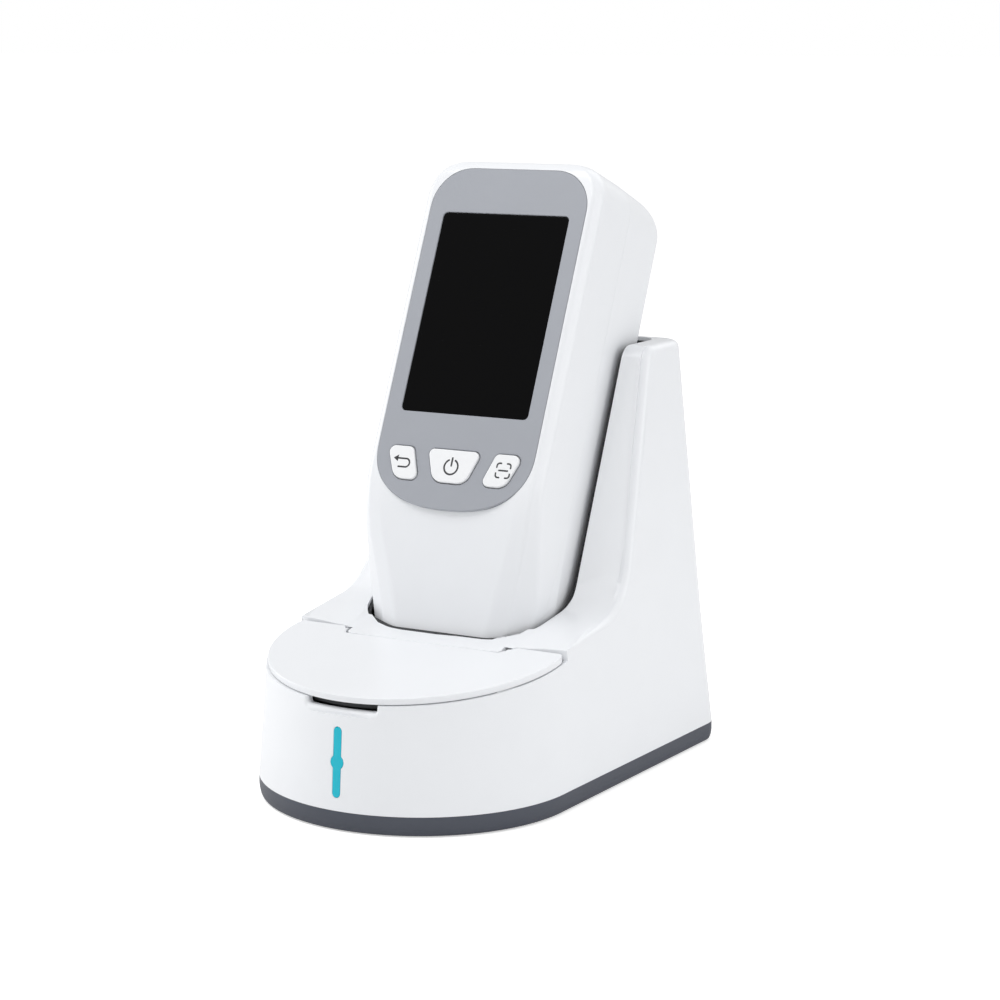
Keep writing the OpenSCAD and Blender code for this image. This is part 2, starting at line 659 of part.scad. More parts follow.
dock_housing();
pocket_liner();
base_tray();
rubber_feet();
ballast_plate();
dock_screws();
compartment_tub();
catch_plates();
hinge_pins();
front_lid();
lid_magnets();
indicator_light();
indicator_board();
dock_board();
dc_inlet();
pin_block();
charge_pins();
front_shell();
rear_shell();
faceplate();
display_glass();
lcd_module();
back_button();
power_button();
scan_button();
keypad_mat();
tact_switches();
main_board();
board_screws();
case_screws();
battery_cells();
battery_cradle();
contact_block();
charge_pads();
optics_tube();
objective_lens();
lens_ring();
beam_splitter();
camera_board();
camera_module();
infrared_ring();
fixation_target();
optics_cradle();
rear_window();
window_bezel();
speaker();
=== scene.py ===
"""Autorefractor in its charging dock: the looks of every piece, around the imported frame.

Pieces are drawn in millimetres, in one of three frames: the dock's, from the centre of its rounded
front; the lid's, tilted with its top; and the handset's, with x across, y into the body and z up its
face from the centre of the screen. settle() then takes each piece to its place in the row frame.
"""
import json
import math

import bmesh
import bpy
from mathutils import Matrix, Vector


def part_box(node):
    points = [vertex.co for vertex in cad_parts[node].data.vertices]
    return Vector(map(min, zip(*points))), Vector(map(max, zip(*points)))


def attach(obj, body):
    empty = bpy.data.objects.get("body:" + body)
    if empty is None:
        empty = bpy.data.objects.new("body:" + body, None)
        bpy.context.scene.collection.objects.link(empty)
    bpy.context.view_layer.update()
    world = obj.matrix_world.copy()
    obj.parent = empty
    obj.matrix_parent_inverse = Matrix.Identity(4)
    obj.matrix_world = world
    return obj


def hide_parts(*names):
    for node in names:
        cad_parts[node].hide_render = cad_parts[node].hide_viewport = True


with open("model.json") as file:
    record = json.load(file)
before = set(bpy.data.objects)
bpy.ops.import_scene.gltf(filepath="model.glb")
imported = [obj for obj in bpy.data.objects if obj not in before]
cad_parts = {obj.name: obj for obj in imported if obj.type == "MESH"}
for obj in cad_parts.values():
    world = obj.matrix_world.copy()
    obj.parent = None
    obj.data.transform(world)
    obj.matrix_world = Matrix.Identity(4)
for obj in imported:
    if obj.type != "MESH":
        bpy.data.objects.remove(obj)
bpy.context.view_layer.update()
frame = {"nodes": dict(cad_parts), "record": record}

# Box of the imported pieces, taken before anything is added
MM = 0.001

# ---- frames --------------------------------------------------------------------------------

JOINTS = {joint["name"]: joint for joint in frame["record"]["behaviour"]["joints"]}
FRONT_R = 56.8                     # depth of the base's rounded front
TRAY_LOW, TRAY_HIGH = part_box("base_tray")
DOCK_W = (TRAY_HIGH[0] - TRAY_LOW[0]) / MM
REAR_Y = (TRAY_HIGH[1] - TRAY_LOW[1]) / MM - FRONT_R
DOCK = Matrix.Translation((0, TRAY_LOW[1] + FRONT_R * MM, 0)) @ Matrix.Scale(MM, 4)

UP_FACE = Vector(JOINTS["handset_lift"]["axis"])
LEAN = math.atan2(UP_FACE.y, UP_FACE.z)
GLASS_FRONT = 0.25                 # the glass lies this deep in the faceplate
FACE_T = 1.5
glass_low, glass_high = (Vector(corner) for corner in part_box("display_glass"))
into_head = Vector((0, math.cos(LEAN), -math.sin(LEAN)))
face_centre = (glass_low + glass_high) / 2 - into_head * (GLASS_FRONT + FACE_T) / 2 * MM
HAND = Matrix.Translation(face_centre) @ Matrix.Rotation(-LEAN, 4, "X") @ Matrix.Scale(MM, 4)

LID_SLOPE = 7.6
LID_TOP = 53.6                     # height of the lid's plane over the front's centre
LID_T = 2.2
LID = DOCK @ Matrix.Translation((0, 0, LID_TOP)) @ Matrix.Rotation(math.radians(LID_SLOPE), 4, "X")
HINGE_Y = (JOINTS["lid_hinge"]["pos_m"][1] - DOCK.translation.y) / MM
HINGE_Z = JOINTS["lid_hinge"]["pos_m"][2] / MM
GAP = 0.4                          # clearance around moving pieces

DOCK_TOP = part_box("dock_housing")[1][2] / MM
TRAY_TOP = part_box("dock_housing")[0][2] / MM


def lid_plane(y):
    """Height of the lid's top surface at y, in the dock's frame."""
    return LID_TOP + y * math.tan(math.radians(LID_SLOPE))


# ---- modelling -----------------------------------------------------------------------------

def only(piece=None):
    """Leaves nothing selected but this piece."""
    if bpy.context.object and bpy.context.object.mode != "OBJECT":
        bpy.ops.object.mode_set(mode="OBJECT")
    bpy.ops.object.select_all(action="DESELECT")
    if piece:
        piece.select_set(True)
        bpy.context.view_layer.objects.active = piece


def mend_normals(piece):
    """Turns all faces outwards."""
    only(piece)
    bpy.ops.object.mode_set(mode="EDIT")
    bpy.ops.mesh.select_all(action="SELECT")
    bpy.ops.mesh.normals_make_consistent(inside=False)
    bpy.ops.object.mode_set(mode="OBJECT")


def loft(name, rings):
    """A closed body: a disc in the shape of the first ring, extruded from ring to ring."""
    only()
    bpy.ops.mesh.primitive_circle_add(vertices=len(rings[0]), fill_type="NGON")
    piece = bpy.context.object
    piece.name = name
    for vert, point in zip(piece.data.vertices, rings[0]):
        vert.co = point
    bpy.ops.object.mode_set(mode="EDIT")
    bpy.ops.mesh.select_all(action="SELECT")
    for before, after in zip(rings, rings[1:]):
        bpy.ops.mesh.extrude_region_move()
        mesh = bmesh.from_edit_mesh(piece.data)
        for vert in mesh.verts:
            if vert.select:
                gaps = [(vert.co - Vector(point)).length_squared for point in before]
                vert.co = after[gaps.index(min(gaps))]
        bmesh.update_edit_mesh(piece.data)
    bpy.ops.object.mode_set(mode="OBJECT")
    mend_normals(piece)
    return piece


def prism(name, outline, low, high, along="z"):
    """An outline drawn out along an axis: x, y in the plane for z; x, z for y; y, z for x."""
    place = {
        "z": lambda p, h: (p[0], p[1], h),
        "y": lambda p, h: (p[0], h, p[1]),
        "x": lambda p, h: (h, p[0], p[1]),
    }[along]
    return loft(name, [[place(p, h) for p in outline] for h in (low, high)])


def rod(name, radius, low, high, at=(0, 0), along="y", vertices=48):
    """A round bar along an axis, through a point of the plane across it."""
    outline = [
        (at[0] + radius * math.cos(t), at[1] + radius * math.sin(t))
        for t in (2 * math.pi * i / vertices for i in range(vertices))
    ]
    return prism(name, outline, low, high, along)


def block(name, x, y, z):
    """A box between two corners."""
    return prism(name, [(x[0], y[0]), (x[1], y[0]), (x[1], y[1]), (x[0], y[1])], z[0], z[1])


def twin(piece, name):
    """A copy with its own mesh."""
    copy = piece.copy()
    copy.data = piece.data.copy()
    copy.name = name
    bpy.context.collection.objects.link(copy)
    return copy


def cut(piece, *tools, how="DIFFERENCE"):
    """Cuts the piece with each tool, or joins or crosses it, and removes the tools."""
    for tool in tools:
        only(piece)
        boolean = piece.modifiers.new("cut", "BOOLEAN")
        boolean.operation = how
        boolean.solver = "EXACT"
        boolean.object = tool
        bpy.ops.object.modifier_apply(modifier=boolean.name)
        bpy.data.objects.remove(tool)
    return piece


def keep_side(piece, point, normal):
    """Bisects the piece and keeps what lies behind the plane, closed by a face."""
    only(piece)
    bpy.ops.object.mode_set(mode="EDIT")
    bpy.ops.mesh.select_all(action="SELECT")
    bpy.ops.mesh.bisect(plane_co=point, plane_no=normal, use_fill=True, clear_outer=True)
    bpy.ops.object.mode_set(mode="OBJECT")
    return piece


def soften(piece, width, segments=3, angle=32):
    """Rounds every edge sharper than the angle."""
    only(piece)
    bevel = piece.modifiers.new("soften", "BEVEL")
    bevel.width = width
    bevel.segments = segments
    bevel.limit_method = "ANGLE"
    bevel.angle_limit = math.radians(angle)
    bevel.miter_outer = "MITER_ARC"
    bpy.ops.object.modifier_apply(modifier=bevel.name)
    return piece


def round_where(piece, test, width, segments=5):
    """Rounds the sharp edges whose two ends pass the test."""
    only(piece)
    bpy.ops.object.mode_set(mode="EDIT")
    bpy.ops.mesh.select_mode(type="EDGE")
    bpy.ops.mesh.select_all(action="DESELECT")
    mesh = bmesh.from_edit_mesh(piece.data)
    for edge in mesh.edges:
        sharp = len(edge.link_faces) == 2 and edge.calc_face_angle() > math.radians(28)
        if sharp and all(test(vert.co) for vert in edge.verts):
            edge.select = True
    bmesh.update_edit_mesh(piece.data)
    bpy.ops.mesh.bevel(offset=width, segments=segments, affect="EDGES", clamp_overlap=True)
    bpy.ops.mesh.select_mode(type="VERT")
    bpy.ops.object.mode_set(mode="OBJECT")
    return piece


def settle(piece, place, body, finish, replaces=(), smooth=32, flat_first=True):
    """Puts a finished piece in its place, with its finish, its body and what it stands for."""
    piece.data.transform(place)
    only(piece)
    bpy.ops.object.shade_smooth_by_angle(angle=math.radians(smooth))
    if flat_first:
        weighted = piece.modifiers.new("flats", "WEIGHTED_NORMAL")
        weighted.keep_sharp = True
        bpy.ops.object.modifier_apply(modifier=weighted.name)
    piece.data.materials.clear()
    piece.data.materials.append(finish)
    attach(piece, body)
    if replaces:
        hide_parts(*replaces)
    return piece


# ---- outlines ------------------------------------------------------------------------------

def arc(centre, rx, ry, start, end, steps):
    """Points of an elliptic arc, in degrees."""
    angles = [math.radians(start + (end - start) * i / steps) for i in range(steps + 1)]
    return [(centre[0] + rx * math.cos(t), centre[1] + ry * math.sin(t)) for t in angles]


def rounded(corners, steps=6):
    """An outline with each corner (x, y, radius) rounded by an arc, as far as its sides allow."""
    points = []
    for i, (x, y, radius) in enumerate(corners):
        at = Vector((x, y))
        if not radius:
            points.append((x, y))
            continue
        before = Vector(corners[i - 1][:2]) - at
        after = Vector(corners[(i + 1) % len(corners)][:2]) - at
        half = before.angle(after) / 2
        room = 0.48 * min(before.length, after.length)
        radius = min(radius, room * math.tan(half))
        before.normalize()
        after.normalize()
        centre = at + (before + after).normalized() * radius / math.sin(half)
        start = at + before * radius / math.tan(half) - centre
        end = at + after * radius / math.tan(half) - centre
        sweep = math.pi - 2 * half
        for k in range(steps + 1):
            t = k / steps
            spoke = start * math.sin((1 - t) * sweep) + end * math.sin(t * sweep)
            points.append(tuple(centre + spoke / math.sin(sweep)))
    return points


def both_sides(corners):
    """Corners on the right, and their mirror images on the left."""
    return corners + [(-x, y, r) for x, y, r in reversed(corners)]


def stroke(path, width, steps=6):
    """Outline of a line of even width with round ends along a path."""
    path = [Vector(p) for p in path]
    left, right = [], []
    for i, point in enumerate(path):
        run = (path[min(i + 1, len(path) - 1)] - path[max(i - 1, 0)]).normalized()
        side = Vector((-run.y, run.x)) * width / 2
        left.append(point + side)
        right.append(point - side)

    def cap(centre, first):
        spoke = first - centre
        turns = [-math.pi * k / (steps + 1) for k in range(1, steps + 1)]
        return [centre + Matrix.Rotation(t, 2) @ spoke for t in turns]

    ends = cap(path[-1], left[-1]), cap(path[0], right[0])
    return [tuple(p) for p in left + ends[0] + right[::-1] + ends[1]]


# ---- finishes ------------------------------------------------------------------------------

def finish(name, colour, rough, grain=900, bump=0.02, spread=0.03, mottle=60, metal=0.0, coat=0.0,
           glow=None, clear=0.0, ior=1.46, gleam=0.5):
    """A moulded or machined surface: fine grain in its gloss and relief, and a faint drift of tone."""
    material = bpy.data.materials.new(name)
    material.use_nodes = True
    nodes, links = material.node_tree.nodes, material.node_tree.links
    shader = nodes["Principled BSDF"]
    shader.inputs["Metallic"].default_value = metal
    shader.inputs["Coat Weight"].default_value = coat
    shader.inputs["Coat Roughness"].default_value = 0.08
    shader.inputs["Transmission Weight"].default_value = clear
    shader.inputs["IOR"].default_value = ior
    shader.inputs["Specular IOR Level"].default_value = gleam
    if glow:
        shader.inputs["Emission Color"].default_value = (*glow[0], 1)
        shader.inputs["Emission Strength"].default_value = glow[1]
    place = nodes.new("ShaderNodeTexCoord")

    drift = nodes.new("ShaderNodeTexNoise")
    drift.inputs["Scale"].default_value = mottle
    drift.inputs["Detail"].default_value = 2
    links.new(place.outputs["Object"], drift.inputs["Vector"])
    tone = nodes.new("ShaderNodeMix")
    tone.data_type = "RGBA"
    tone.inputs["A"].default_value = (*[c * (1 - spread) for c in colour], 1)
    tone.inputs["B"].default_value = (*[min(1, c * (1 + spread)) for c in colour], 1)
    links.new(drift.outputs["Fac"], tone.inputs["Factor"])
    links.new(tone.outputs["Result"], shader.inputs["Base Color"])

    fine = nodes.new("ShaderNodeTexNoise")
    fine.inputs["Scale"].default_value = grain
    fine.inputs["Detail"].default_value = 3
    links.new(place.outputs["Object"], fine.inputs["Vector"])
    gloss = nodes.new("ShaderNodeMapRange")
    gloss.inputs["To Min"].default_value = rough * 0.85
    gloss.inputs["To Max"].default_value = min(1, rough * 1.15)
    links.new(fine.outputs["Fac"], gloss.inputs["Value"])
    links.new(gloss.outputs["Result"], shader.inputs["Roughness"])
    relief = nodes.new("ShaderNodeBump")
    relief.inputs["Strength"].default_value = bump
    relief.inputs["Distance"].default_value = 0.0002
    links.new(fine.outputs["Fac"], relief.inputs["Height"])
    links.new(relief.outputs["Normal"], shader.inputs["Normal"])
    return material


def turned(name, colour, rough):
    """Metal with the fine rings or lines that machining leaves."""
    material = finish(name, colour, rough, grain=1500, bump=0.04, metal=1.0)
    nodes, links = material.node_tree.nodes, material.node_tree.links
    lines = nodes.new("ShaderNodeTexWave")
    lines.inputs["Scale"].default_value = 900
    lines.inputs["Distortion"].default_value = 1.5
    links.new(nodes["Texture Coordinate"].outputs["Object"], lines.inputs["Vector"])
    relief = nodes["Bump"]
    links.new(lines.outputs["Fac"], relief.inputs["Height"])
    return material


def circuit(name):
    """Green solder mask with faint copper tracks under it."""
    material = finish(name, (0.006, 0.045, 0.018), 0.35, grain=700, bump=0.03)
    nodes, links = material.node_tree.nodes, material.node_tree.links
    tracks = nodes.new("ShaderNodeTexBrick")
    tracks.inputs["Scale"].default_value = 180
    tracks.inputs["Mortar Size"].default_value = 0.06
    tracks.inputs["Color1"].default_value = (0.006, 0.045, 0.018, 1)
    tracks.inputs["Color2"].default_value = (0.007, 0.055, 0.021, 1)
    tracks.inputs["Mortar"].default_value = (0.016, 0.09, 0.032, 1)
    links.new(nodes["Texture Coordinate"].outputs["Object"], tracks.inputs["Vector"])
    links.new(tracks.outputs["Color"], nodes["Principled BSDF"].inputs["Base Color"])
    return material


WHITE = finish("white_shell", (0.8, 0.815, 0.84), 0.3, grain=1100, bump=0.012, spread=0.012, coat=0.15)
KEY_WHITE = finish("key_white", (0.82, 0.83, 0.845), 0.34, grain=1300, bump=0.01, spread=0.01)
GREY = finish("face_grey", (0.335, 0.35, 0.385), 0.42, grain=1600, bump=0.03, spread=0.02)
SCREEN = finish("screen_black", (0.002, 0.002, 0.0022), 0.08, grain=300, bump=0.0, gleam=0.08)
SLATE = finish("dark_base", (0.06, 0.067, 0.087), 0.5, grain=1400, bump=0.09, spread=0.06)
# The pocket liner's near-black is painted shade for the deep gap around the docked handset; the rear
# window's bezel uses the same dark as its own colour.
DARK_TRIM_AND_PAINTED_SHADE = finish("dark_liner", (0.02, 0.021, 0.024), 0.55, grain=1300, bump=0.06, spread=0.06)
INK = finish("symbol_ink", (0.035, 0.036, 0.04), 0.5, grain=1500, bump=0.01)
TEAL = finish("teal_light", (0.0, 0.36, 0.46), 0.25, grain=500, bump=0.0, spread=0.1,
              glow=((0.0, 0.42, 0.52), 0.25))
RUBBER = finish("rubber_black", (0.018, 0.018, 0.018), 0.8, grain=1200, bump=0.1)
STEEL = turned("steel", (0.55, 0.55, 0.56), 0.3)
GOLD = turned("gold_contact", (0.85, 0.58, 0.24), 0.25)
BOARD = circuit("board_green")
CELL = finish("cell_blue", (0.04, 0.1, 0.42), 0.28, grain=400, bump=0.02, coat=0.3)
LENS = finish("lens_glass", (0.9, 0.95, 0.97), 0.03, grain=200, bump=0.0, clear=1.0, ior=1.52)
WINDOW = finish("window_glass", (0.06, 0.03, 0.045), 0.06, grain=200, bump=0.0, clear=0.5, coat=0.5)
TUBE = finish("tube_black", (0.03, 0.03, 0.032), 0.38, grain=1500, bump=0.04, metal=0.6)
AMBER = finish("target_amber", (0.75, 0.3, 0.04), 0.3, grain=600, bump=0.01)
FINISHES = {
    "white_shell": WHITE, "button_white": KEY_WHITE, "face_grey": GREY, "screen_black": SCREEN,
    "dark_base": SLATE, "dark_liner": DARK_TRIM_AND_PAINTED_SHADE, "teal_light": TEAL, "rubber_black": RUBBER,
    "steel": STEEL, "gold_contact": GOLD, "board_green": BOARD, "cell_blue": CELL,
    "lens_glass": LENS, "window_glass": WINDOW, "tube_black": TUBE, "target_amber": AMBER,
}


def finish_frame():
    """Gives every CAD piece that stays the finish of its slot in the record."""
    for part in frame["record"]["subparts"]:
        mesh = frame["nodes"][part["node"]].data
        mesh.materials.clear()
        mesh.materials.append(FINISHES[part["material_slot"]])


# ---- dock ----------------------------------------------------------------------------------

BASE_HW = DOCK_W / 2
# Outline levels: height, half width in front, half width behind, front, rear, corner radius
LEVELS = [
    (TRAY_TOP, BASE_HW - 5, BASE_HW, FRONT_R, REAR_Y, 12),
    (50, BASE_HW - 8.5, BASE_HW - 5, FRONT_R - 3, REAR_Y - 2.2, 10),
    (DOCK_TOP, BASE_HW - 14.6, BASE_HW - 13.6, FRONT_R - 9, REAR_Y - 6.7, 10),
]
EAR_X = 32                         # where the lid's rear edge steps back
EAR_BACK = HINGE_Y + 2.75
TONGUE_Y = HINGE_Y - 3.3
POCKET_HW = 40
POCKET_BACK = 60.5
POCKET_FRONT = 13.8
WALL = 2.6
# Heights of the block's rings: closest where the lid's edge and the notch are cut
DOCK_HEIGHTS = [18, 28, 34, 38, 41, 44, 47, 50, 54, 58, 64, 76, 90, 102, 115, 128, 140]


def level(z):
    """Outline sizes at a height, between the given levels."""
    low, high = (LEVELS[0], LEVELS[1]) if z < LEVELS[1][0] else (LEVELS[1], LEVELS[2])
    t = (z - low[0]) / (high[0] - low[0])
    return [a + (b - a) * t for a, b in zip(low, high)]


def dock_ring(z, inset=0.0, height=None):
    """Ring of the dock's outline at a height: half an ellipse in front, rounded corners behind."""
    _, front_hw, rear_hw, front, rear, corner = level(z)
    x, y, r = rear_hw - corner, rear - corner, corner - inset
    outline = arc((0, 0), front_hw - inset, front - inset, 180, 360, 64)
    outline += arc((x, y), r, r, 0, 90, 9) + arc((-x, y), r, r, 90, 180, 9)
    return [(px, py, z if height is None else height) for px, py in outline]


def dock_block(name, inset=0.0, low=None, high=None):
    """The dock's outer form, all round and up to its top."""
    low, high = low or TRAY_TOP, high or DOCK_TOP
    return loft(name, [dock_ring(z, inset) for z in [low, *DOCK_HEIGHTS, high]])


def seat(y):
    """Height of the housing's edge under the lid."""
    return lid_plane(y) - LID_T - GAP


# Side view at a distance from the middle: x, rear of the lid's seat, height there,
# sweep corner (y, z, radius), front of the wing's top
SIDE_VIEWS = [
    (0, TONGUE_Y, 53.45, (31, 55.5, 6), 76.0),
    (22, TONGUE_Y, 53.5, (31.5, 56.5, 7), 76.0),
    (30.5, TONGUE_Y, 53.7, (34, 60, 10), 76.0),
    (34.5, EAR_BACK, 54.3, (36, 63, 13), 76.0),
    (40, EAR_BACK, 54.6, (37.8, 64.5, 15), 76.5),
    (45, EAR_BACK, 55.2, (42.8, 63.3, 20), 77.4),
    (51, EAR_BACK, 55.6, (48.5, 62, 24), 78.6),
    (80, EAR_BACK, 55.6, (48.5, 62, 24), 78.6),
]


def air_ring(view, drop=0.0):
    """Ring of the space above the lid's seat, the deck and the wings' front edges."""
    x, step, deck, (y, z, radius), top = view
    corners = [
        (-90, seat(-90) - drop, 0), (step + drop, seat(step) - drop, 0), (step + drop, deck - drop, 0.5),
        (y + drop, z - drop, radius), (top + drop, DOCK_TOP - drop, 7), (160, DOCK_TOP - drop, 0),
        (160, 260, 0), (-90, 260, 0),
    ]
    return [(x, py, pz) for py, pz in rounded(corners, 9)]


def air(name, drop=0.0):
    """The body of air that is cut from the dock's block."""
    right = [air_ring(view, drop) for view in SIDE_VIEWS]
    left = [[(-x, y, z) for x, y, z in ring] for ring in reversed(right[1:])]
    return loft(name, left + right)


def pocket_outline(grow=0.0):
    """Cross-section of the pocket that holds the handset."""
    return rounded(both_sides([
        (20, POCKET_FRONT - grow, 14), (35 + grow, 20 - grow, 8),
        (POCKET_HW + grow, 34 - grow / 2, 2), (POCKET_HW + grow, POCKET_BACK + grow, 7 + grow),
    ]))


TO_DOCK = DOCK.inverted() @ HAND
POCKET_FLOOR = -144


def pocket(name, grow=0.0, low=POCKET_FLOOR, high=150):
    """The pocket's prism, in the dock's frame."""
    piece = prism(name, pocket_outline(grow), low, high)
    piece.data.transform(TO_DOCK)
    return piece


LIGHT = (1.5, 11.8, 35.9, 2.5)    # half width, lower end, upper end, radius of the middle


def light_outline(gap=0.0):
    """The indicator's bar with its round middle."""
    half, low, high, bulge = LIGHT
    half, bulge, mid = half + gap, bulge + gap, (low + high) / 2
    lean = math.degrees(math.asin(half / bulge))
    return (
        arc((0, low + LIGHT[0]), half, half, 180, 360, 8)
        + arc((0, mid), bulge, bulge, lean - 90, 90 - lean, 10)
        + arc((0, high - LIGHT[0]), half, half, 0, 180, 8)
        + arc((0, mid), bulge, bulge, 90 + lean, 270 - lean, 10)
    )


RIM_R = 3.0                        # rounding of the wings' outer rim
RIM_START = 0.8                    # and where it begins, beside the lid
RIM_EASE = 24                      # length over which it grows


WALL_RISE = 0.09                   # how far the back wall's normal points up


def wall_x(y, z):
    """Half width of the dock behind its front's centre."""
    _, front_hw, rear_hw, _, rear, corner = level(z)
    return front_hw + (rear_hw - front_hw) * y / (rear - corner)


def rim_stations():
    """Points along the right rim, with both surfaces' normals and the radius there."""
    _, step, deck, (y, z, radius), top = SIDE_VIEWS[-1]
    rear = level(DOCK_TOP)[4] - level(DOCK_TOP)[5]
    profile = rounded([(step - 3, deck, 0), (y, z, radius), (top, DOCK_TOP, 7), (rear, DOCK_TOP, 0)], 12)
    stations = []
    for i, (py, pz) in enumerate(profile):
        ahead, behind = profile[min(i + 1, len(profile) - 1)], profile[max(i - 1, 0)]
        up = Vector((0, behind[1] - ahead[1], ahead[0] - behind[0])).normalized()
        lean_y = wall_x(py + 1, pz) - wall_x(py, pz)
        lean_z = wall_x(py, pz) - wall_x(py, pz - 1)
        out = Vector((1, -lean_y, -lean_z)).normalized()
        ease = min(max((py - step) / RIM_EASE, 0), 1)
        radius = RIM_START + (RIM_R - RIM_START) * ease * ease * (3 - 2 * ease)
        stations.append((Vector((wall_x(py, pz), py, pz)), out, up, radius))
    _, _, rear_hw, _, back, corner = level(DOCK_TOP)
    centre = Vector((rear_hw - corner, back - corner, DOCK_TOP))
    for i in range(1, 11):
        turn = math.radians(9 * i)
        spoke = Vector((math.cos(turn), math.sin(turn), 0))
        out = (spoke + Vector((0, 0, WALL_RISE))).normalized()
        stations.append((centre + spoke * corner, out, Vector((0, 0, 1)), RIM_R))
    return stations


def rim_cutter(name):
    """A cutter that rounds the outer rim, from beside the lid round the back to the other side."""
    rings = []
    for at, out, up, radius in rim_stations():
        middle = at - radius * (out + up) / (1 + out.dot(up)) + 0.03 * (out + up)
        arc_points = [middle + radius * out.slerp(up, k / 10) for k in range(11)]
        rings.append(arc_points + [arc_points[-1] + 3 * up, at + 3 * (out + up), arc_points[0] + 3 * out])
    mirrored = [[Vector((-x, y, z)) for x, y, z in ring] for ring in reversed(rings)]
    return loft(name, rings + mirrored)


NOTCH_HW = 13.2
NOTCH_H = 1.7
NOTCH_LIP = 1.9                    # rounding of its outer edge


def notch(name):
    """The finger notch in the top of the front wall, with a round outer lip."""
    top = seat(-FRONT_R)
    outline = rounded(both_sides([(NOTCH_HW, top - NOTCH_H, 0.9), (NOTCH_HW + 1.2, top + 6, 0)]))
    depths = [-4, 0] + [NOTCH_LIP * (1 - math.cos(math.radians(15 * k))) for k in range(1, 7)] + [14]
    rings = []
    for depth in depths:
        short = NOTCH_LIP - min(max(depth, 0), NOTCH_LIP)
        spread = NOTCH_LIP - math.sqrt(NOTCH_LIP ** 2 - short ** 2)
        ring = []
        for x, z in grown(outline, spread):
            _, front_hw, _, front, _, _ = level(min(z, top))
            y = (depth - front) * math.sqrt(1 - (x / (front_hw - depth)) ** 2)
            ring.append((x, y, z))
        rings.append(ring)
    return loft(name, rings)


def tub_outline(inset):
    """Outline of the accessory bowl."""
    rx, ry = LEVELS[1][1] - WALL - inset, LEVELS[1][3] - WALL - inset
    return arc((0, 0), rx, ry, 183, 357, 56)


BARREL_R = 2.15                    # the lid's hinge barrel
TROUGH_R = 2.8                     # and the room that the housing leaves it
TROUGH_END = 53.2
BOSSES = [(-50.4, -8), (50.4, -8), (-50.4, 96), (50.4, 96)]


def dock_housing():
    """White housing: block, side walls, deck, pocket and the openings for the lid and the light."""
    shell = cut(dock_block("dock_shell"), air("air"), rim_cutter("rim"))
    low = POCKET_FLOOR
    bowl = prism("bowl", tub_outline(0), 26, 80)
    window = prism("window", light_outline(0.12), -70, -40, "y")
    inlet = block("inlet", (-7.6, 7.6), (REAR_Y - 12, REAR_Y + 5), (17.9, 30.1))
    cut(shell, pocket("pocket_space", 0, low), bowl, window, notch("notch"), inlet)
    trough = rod("trough", TROUGH_R, EAR_X - 0.8, TROUGH_END, (HINGE_Y, HINGE_Z), "x")
    other = rod("trough", TROUGH_R, -TROUGH_END, 0.8 - EAR_X, (HINGE_Y, HINGE_Z), "x")
    cut(shell, trough, other)
    soften(shell, 0.55, 3, 35)
    hollow = cut(dock_block("hollow", WALL, TRAY_TOP - 1, DOCK_TOP - WALL), air("air_low", WALL),
                 pocket("walls", WALL, low - WALL), block("tongue_root", (-33, 33), (-3, 8), (43, 60)))
    for x, y in BOSSES:
        cut(hollow, rod("boss", 3.4, 0, 26, (x, y), "z", 32))
    cut(shell, hollow)
    for x, y in BOSSES:
        cut(shell, rod("hole", 1.1, 0, 20, (x, y), "z", 24))
    settle(shell, DOCK, "dock", WHITE, ["dock_housing"])


def front_lid():
    """Lid of the front compartment: a D-shaped plate with a round lip and two hinge ears."""
    radius, ear_rear, step_rear = 54.1, HINGE_Y + 2.0, HINGE_Y - 3.9
    tip, corner = 4.5, math.degrees(math.asin(0.012))
    rear = rounded([
        (radius * math.cos(math.radians(corner)), 0.65, 0), (radius - 0.7, ear_rear, tip),
        (EAR_X + 3.2, ear_rear, 1.6), (EAR_X - 0.9, step_rear, 1.6),
        (0.9 - EAR_X, step_rear, 1.6), (-EAR_X - 3.2, ear_rear, 1.6),
        (0.7 - radius, ear_rear, tip), (-radius * math.cos(math.radians(corner)), 0.65, 0),
    ])
    outline = arc((0, 0), radius, radius, 180.7, 359.3, 96) + rear
    plate = prism("lid_plate", outline, -LID_T, 0)
    round_where(plate, lambda v: v.z > -0.01 and v.y < 1.0, 1.5, 6)
    round_where(plate, lambda v: v.z > -0.01 and v.y > ear_rear - 0.05, 1.75, 6)
    soften(plate, 0.35, 3, 40)
    into_lid = LID.inverted() @ DOCK
    for side in (-1, 1):
        ends = sorted((side * (EAR_X + 0.6), side * 50.5))
        barrel = rod("barrel", BARREL_R, ends[0], ends[1], (HINGE_Y, HINGE_Z), "x")
        bore = rod("bore", 1.06, *sorted((side * 20, side * 45)), (HINGE_Y, HINGE_Z), "x", 32)
        barrel.data.transform(into_lid)
        bore.data.transform(into_lid)
        cut(plate, barrel, how="UNION")
        cut(plate, bore)
        cut(plate, rod("magnet_seat", 2.55, -LID_T - 1, -LID_T + 1.5, (side * 27, -38.5), "z", 32))
    settle(plate, LID, "lid", WHITE, ["front_lid"])


def base_tray():
    """Slate tray: a rounded lower edge, an open inside, and recesses for its screws."""
    bottom = TRAY_LOW[2] / MM + 0.02
    rings = [(bottom, 1.4), (bottom + 0.3, 0.8), (1.5, 0.45), (2.8, 0.15), (4.3, 0), (TRAY_TOP, 0)]
    tray = loft("tray_shell", [dock_ring(TRAY_TOP, inset, z) for z, inset in rings])
    soften(tray, 0.25, 2, 50)
    cut(tray, loft("inside", [dock_ring(TRAY_TOP, WALL, z) for z in (3.2, 20)]))
    for x, y in BOSSES:
        cut(tray, rod("post", 4.4, 2, TRAY_TOP, (x, y), "z", 32), how="UNION")
        head_space = rod("head_space", 3.1, -1, 3.2, (x, y), "z", 32)
        hole = rod("hole", 1.6, 0, 20, (x, y), "z", 24)
        cut(tray, head_space, hole)
    settle(tray, DOCK, "dock", SLATE, ["base_tray"])


